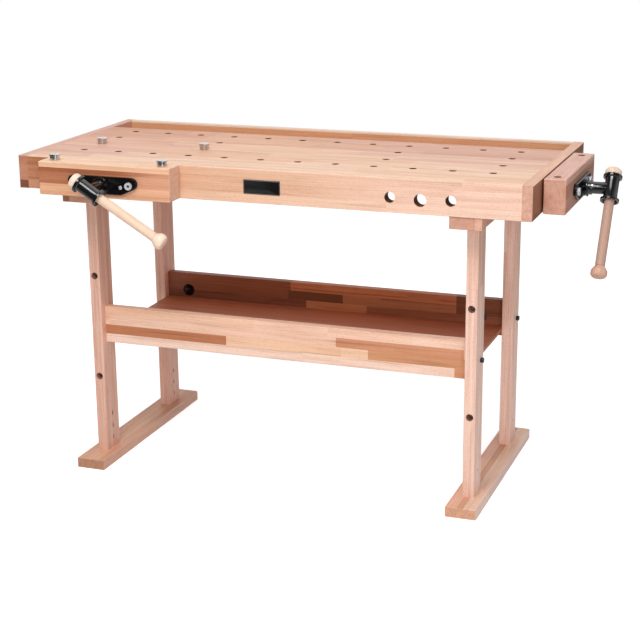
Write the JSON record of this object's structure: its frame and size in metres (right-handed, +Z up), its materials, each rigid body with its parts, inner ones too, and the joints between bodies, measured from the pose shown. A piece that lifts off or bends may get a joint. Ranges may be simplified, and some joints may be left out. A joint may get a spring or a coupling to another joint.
{
  "type": "woodworking bench",
  "caption": "Wooden joiner's bench on two trestles, with a front vise, a tail vise, a grid of dog holes, a tool well and a tray shelf.",
  "frame": {"origin": "on the floor, under the middle of the bench's whole plan with both vises and their handles", "axes": "+X along the top towards the tail vise, +Y from the front vise towards the tool well, +Z up"},
  "size_m": [1.506, 0.7786, 0.865],
  "materials": {
    "slab_beech": "oiled, laminated staves",
    "apron_beech": "oiled, planed",
    "cap_beech": "oiled, planed",
    "rail_beech": "oiled, planed",
    "well_board": "oiled, veneered board",
    "foot_beech": "oiled, planed",
    "upright_beech": "oiled, planed",
    "shelf_beech": "oiled, finger staves",
    "tray_board": "oiled, veneered board",
    "front_jaw_beech": "oiled, laminated",
    "tail_jaw_beech": "oiled, laminated",
    "handle_beech": "turned and sanded",
    "black_casting": "glossy black enamel on cast iron",
    "screw_steel": "oiled turned steel",
    "rod_steel": "bright drawn steel",
    "ring_steel": "turned steel",
    "zinc_fasteners": "bright zinc plate",
    "black_fasteners": "blackened steel",
    "dog_steel": "satin turned steel"
  },
  "bodies": {
    "bench": {"top_slab": "slab_beech", "front_apron": "apron_beech", "end_cap_left": "cap_beech", "end_cap_right": "cap_beech", "mid_rail": "rail_beech", "back_rail": "rail_beech", "well_floor": "well_board", "foot_left": "foot_beech", "foot_right": "foot_beech", "bearer_left": "foot_beech", "bearer_right": "foot_beech", "upright_front_left": "upright_beech", "upright_rear_left": "upright_beech", "upright_front_right": "upright_beech", "upright_rear_right": "upright_beech", "bearer_screws": "zinc_fasteners", "shelf_front_board": "shelf_beech", "shelf_back_board": "shelf_beech", "shelf_floor": "tray_board", "shelf_bolts": "black_fasteners", "shelf_bolt_washers": "zinc_fasteners", "shelf_half_moon_washers": "zinc_fasteners", "shelf_nuts": "zinc_fasteners", "front_nut_bracket": "black_casting", "front_bracket_screws": "zinc_fasteners", "tail_nut_bracket": "black_casting", "tail_bracket_screws": "zinc_fasteners"},
    "front_jaw": {"front_jaw": "front_jaw_beech", "front_faceplate": "black_casting", "front_guide_rods": "rod_steel", "front_rod_bolts": "zinc_fasteners", "front_plate_screws": "zinc_fasteners"},
    "front_screw": {"front_screw": "screw_steel", "front_retaining_ring": "ring_steel", "front_thrust_ring": "black_casting", "front_sleeve": "black_casting", "front_sleeve_pin": "ring_steel"},
    "front_handle": {"front_handle": "handle_beech", "front_knob_upper": "handle_beech", "front_knob_lower": "handle_beech"},
    "tail_jaw": {"tail_jaw": "tail_jaw_beech", "tail_faceplate": "black_casting", "tail_guide_rods": "rod_steel", "tail_rod_bolts": "zinc_fasteners", "tail_plate_screws": "zinc_fasteners"},
    "tail_screw": {"tail_screw": "screw_steel", "tail_retaining_ring": "ring_steel", "tail_thrust_ring": "black_casting", "tail_sleeve": "black_casting", "tail_sleeve_pin": "ring_steel"},
    "tail_handle": {"tail_handle": "handle_beech", "tail_knob_upper": "handle_beech", "tail_knob_lower": "handle_beech"},
    "dog_top_left": {"dog_top_left": "dog_steel"},
    "dog_top_right": {"dog_top_right": "dog_steel"},
    "dog_jaw_left": {"dog_jaw_left": "dog_steel"},
    "dog_jaw_right": {"dog_jaw_right": "dog_steel"}
  },
  "joints": [
    {"name": "front_jaw_slide", "type": "slide", "parent": "bench", "child": "front_jaw", "axis": [0, -1, 0], "range_m": [0, 0.15]},
    {"name": "front_screw_spin", "type": "hinge", "parent": "front_jaw", "child": "front_screw", "pos_m": [-0.478, -0.36625, 0.799], "axis": [0, -1, 0], "range_deg": [0, 9000]},
    {"name": "front_handle_slide", "type": "slide", "parent": "front_screw", "child": "front_handle", "axis": [-0.8572, 0, 0.515], "range_m": [0, 0.1785]},
    {"name": "tail_jaw_slide", "type": "slide", "parent": "bench", "child": "tail_jaw", "axis": [1, 0, 0], "range_m": [-0.0036, 0.15]},
    {"name": "tail_screw_spin", "type": "hinge", "parent": "tail_jaw", "child": "tail_screw", "pos_m": [0.73, 0.04425, 0.799], "axis": [1, 0, 0], "range_deg": [-215.9, 9000]},
    {"name": "tail_handle_slide", "type": "slide", "parent": "tail_screw", "child": "tail_handle", "axis": [0, 0.5736, 0.8192], "range_m": [0, 0.1785]},
    {"name": "dog_top_left_lift", "type": "slide", "parent": "bench", "child": "dog_top_left", "axis": [0, 0, 1], "range_m": [0, 0.06]},
    {"name": "dog_top_right_lift", "type": "slide", "parent": "bench", "child": "dog_top_right", "axis": [0, 0, 1], "range_m": [0, 0.06]},
    {"name": "dog_jaw_left_lift", "type": "slide", "parent": "front_jaw", "child": "dog_jaw_left", "axis": [0, 0, 1], "range_m": [0, 0.06]},
    {"name": "dog_jaw_right_lift", "type": "slide", "parent": "front_jaw", "child": "dog_jaw_right", "axis": [0, 0, 1], "range_m": [0, 0.06]}
  ],
  "couplings": [
    {"joint": "front_jaw_slide", "follows": "front_screw_spin", "m_per_rad": 0.00095493},
    {"joint": "tail_jaw_slide", "follows": "tail_screw_spin", "m_per_rad": 0.00095493}
  ]
}
